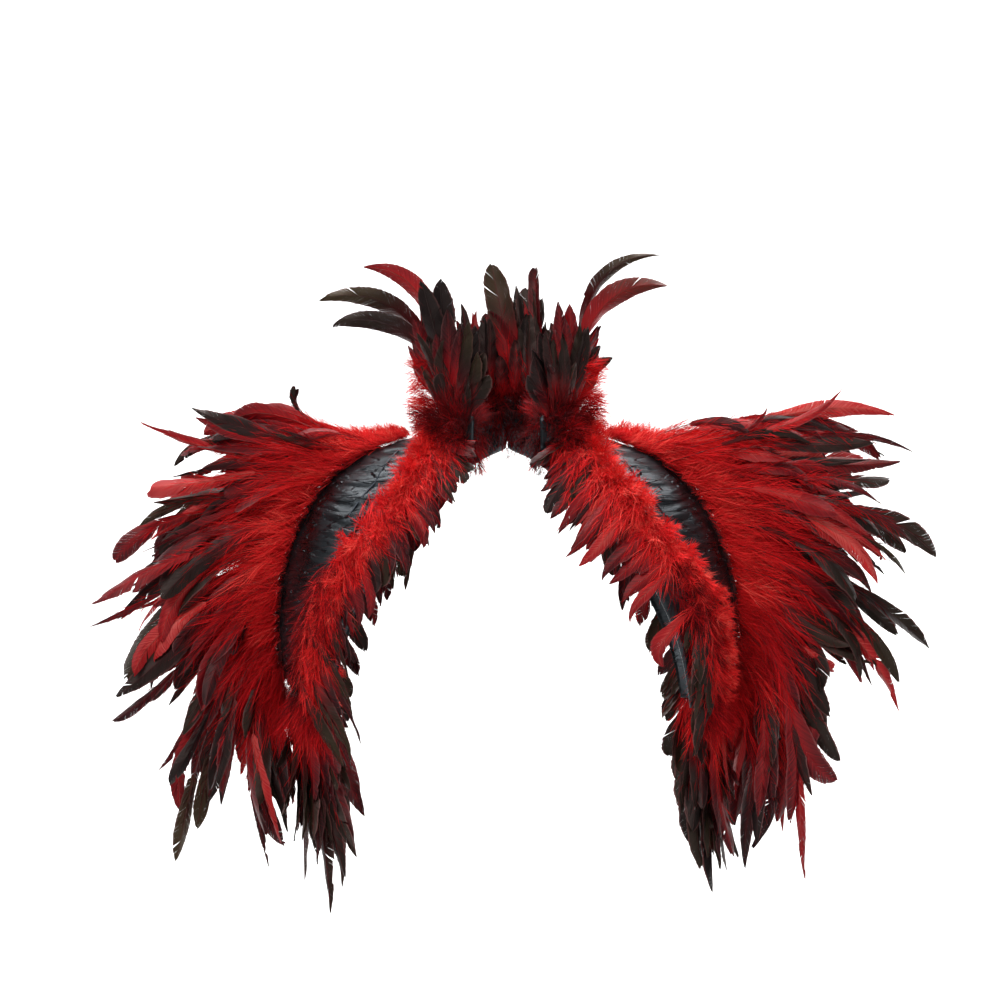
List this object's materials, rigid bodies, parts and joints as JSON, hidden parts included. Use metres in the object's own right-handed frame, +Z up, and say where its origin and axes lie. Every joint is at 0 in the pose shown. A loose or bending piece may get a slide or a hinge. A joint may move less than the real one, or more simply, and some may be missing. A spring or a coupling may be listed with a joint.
{
  "type": "feather cape",
  "caption": "Shoulder cape in its worn form: satin caps on the shoulders, pleated bands, a standing feather collar, feather wings fanned outwards and feathers hanging from the hems.",
  "frame": {"origin": "the middle of the neck, level with the neck end of the shoulder seams, where the wearer's neck and shoulders hold the cape up", "axes": "+Z up, -Y to the wearer's front, +X to the right as seen from the front"},
  "size_m": [0.831, 0.2486, 0.648],
  "materials": {
    "satin": "black satin, semi-gloss",
    "pleated_satin": "black satin gathered into crosswise pleats, semi-gloss",
    "red_feather": "dyed red rooster feather, matt at the root and glossy at the tip",
    "dark_feather": "dark rooster feather with a dull red cast, glossy"
  },
  "bodies": {
    "root": {"cape_front_left": "satin", "cape_front_right": "satin", "cape_back_left": "satin", "cape_back_right": "satin", "collar_stand": "satin", "satin_band_front_left": "pleated_satin", "satin_band_front_right": "pleated_satin", "satin_band_back_left": "pleated_satin", "satin_band_back_right": "pleated_satin", "wing_front_left": "red_feather", "wing_front_right": "red_feather", "wing_mid_left": "red_feather", "wing_mid_right": "red_feather", "wing_back_left": "red_feather", "wing_back_right": "red_feather", "chest_feathers_left": "red_feather", "chest_feathers_right": "red_feather", "back_feathers_left": "red_feather", "back_feathers_right": "red_feather", "hem_feathers_front_left": "dark_feather", "hem_feathers_front_right": "dark_feather", "hem_feathers_back_left": "dark_feather", "hem_feathers_back_right": "dark_feather", "collar_feathers_outer": "dark_feather", "collar_feathers_inner": "dark_feather"}
  },
  "joints": []
}
